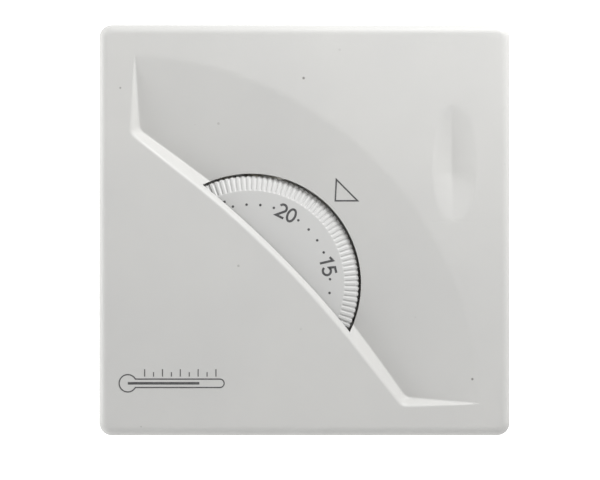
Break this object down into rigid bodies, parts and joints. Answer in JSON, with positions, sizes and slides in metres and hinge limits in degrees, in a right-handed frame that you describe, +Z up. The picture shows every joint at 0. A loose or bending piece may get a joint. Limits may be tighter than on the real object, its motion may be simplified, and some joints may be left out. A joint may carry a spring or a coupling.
{
  "type": "wall thermostat",
  "caption": "Square mechanical room thermostat: moulded cover with a crescent recess, a ribbed temperature wheel, a vapour capsule, a lever and a change-over switch.",
  "frame": {"origin": "middle of the base plate's back face, on the wall", "axes": "+Z up, +Y into the wall, +X to the right for someone facing the thermostat; the front faces -Y"},
  "size_m": [0.083, 0.037, 0.083],
  "materials": {
    "cover_plastic": "fine satin moulding",
    "dial_plastic": "smooth satin moulding",
    "base_plastic": "satin moulding",
    "zinc_plated_steel": "zinc plated",
    "spring_steel": "bright rolled",
    "brass": "turned and stamped",
    "capsule_bronze": "pressed sheet",
    "phenolic": "moulded phenolic",
    "beryllium_copper": "rolled strip",
    "contact_silver": "silver contact",
    "plunger_nylon": "natural nylon"
  },
  "bodies": {
    "base": {"base_plate": "base_plastic", "bridge_frame": "zinc_plated_steel", "bridge_screw_upper": "zinc_plated_steel", "bridge_screw_lower": "zinc_plated_steel", "spindle_bush": "brass", "bush_nut": "zinc_plated_steel", "limit_pin_low": "zinc_plated_steel", "limit_pin_high": "zinc_plated_steel", "lever_pin": "zinc_plated_steel", "lever_spring": "spring_steel", "switch_block": "phenolic", "block_screw_1": "zinc_plated_steel", "block_screw_2": "zinc_plated_steel", "terminal_common": "brass", "terminal_nc": "brass", "terminal_no": "brass", "terminal_screw_1": "brass", "terminal_screw_2": "brass", "terminal_screw_3": "brass", "wire_clamp_1": "zinc_plated_steel", "wire_clamp_2": "zinc_plated_steel", "wire_clamp_3": "zinc_plated_steel", "blade_rivet": "brass", "contact_nc": "contact_silver", "contact_no": "contact_silver"},
    "cover": {"front_cover": "cover_plastic"},
    "dial": {"dial_wheel": "dial_plastic"},
    "spindle": {"dial_spindle": "brass", "capsule_stud": "brass", "capsule_front": "capsule_bronze"},
    "diaphragm": {"capsule_rear": "capsule_bronze", "capsule_button": "brass"},
    "lever": {"switch_lever": "spring_steel", "calibration_screw": "brass", "calibration_nut": "brass"},
    "plunger": {"switch_plunger": "plunger_nylon"},
    "blade": {"snap_blade": "beryllium_copper", "moving_contact": "contact_silver"}
  },
  "joints": [
    {"name": "cover_pull", "type": "slide", "parent": "base", "child": "cover", "axis": [0, -1, 0], "range_m": [0, 0.045]},
    {"name": "dial_turn", "type": "hinge", "parent": "base", "child": "dial", "pos_m": [-0.0108, -0.0351, -0.0108], "axis": [0, 1, 0], "range_deg": [-131.8, 118.2]},
    {"name": "spindle_advance", "type": "slide", "parent": "dial", "child": "spindle", "axis": [0, -1, 0], "range_m": [-0.000403, 0.000361]},
    {"name": "lever_tilt", "type": "hinge", "parent": "base", "child": "lever", "pos_m": [-0.033, -0.01035, -0.0108], "axis": [0, 0, 1], "range_deg": [0, 0.762], "stiffness_Nm_per_rad": 0.5, "springref_deg": -1.15, "deforming": ["lever_spring"]},
    {"name": "capsule_breathe", "type": "slide", "parent": "spindle", "child": "diaphragm", "axis": [0, 1, 0], "range_m": [0, 0.000348]},
    {"name": "plunger_push", "type": "slide", "parent": "base", "child": "plunger", "axis": [0, 1, 0], "range_m": [0, 0.000803]},
    {"name": "blade_snap", "type": "hinge", "parent": "base", "child": "blade", "pos_m": [0.0182, -0.00907, 0.012], "axis": [1, 0, 0], "range_deg": [0, 2.02]}
  ],
  "couplings": [
    {"joint": "spindle_advance", "follows": "dial_turn", "m_per_rad": 0.00015915},
    {"joint": "capsule_breathe", "follows": "lever_tilt", "m_per_rad": 0.0222},
    {"joint": "plunger_push", "follows": "lever_tilt", "m_per_rad": 0.0512},
    {"joint": "blade_snap", "follows": "lever_tilt", "ratio": 2.2456}
  ]
}
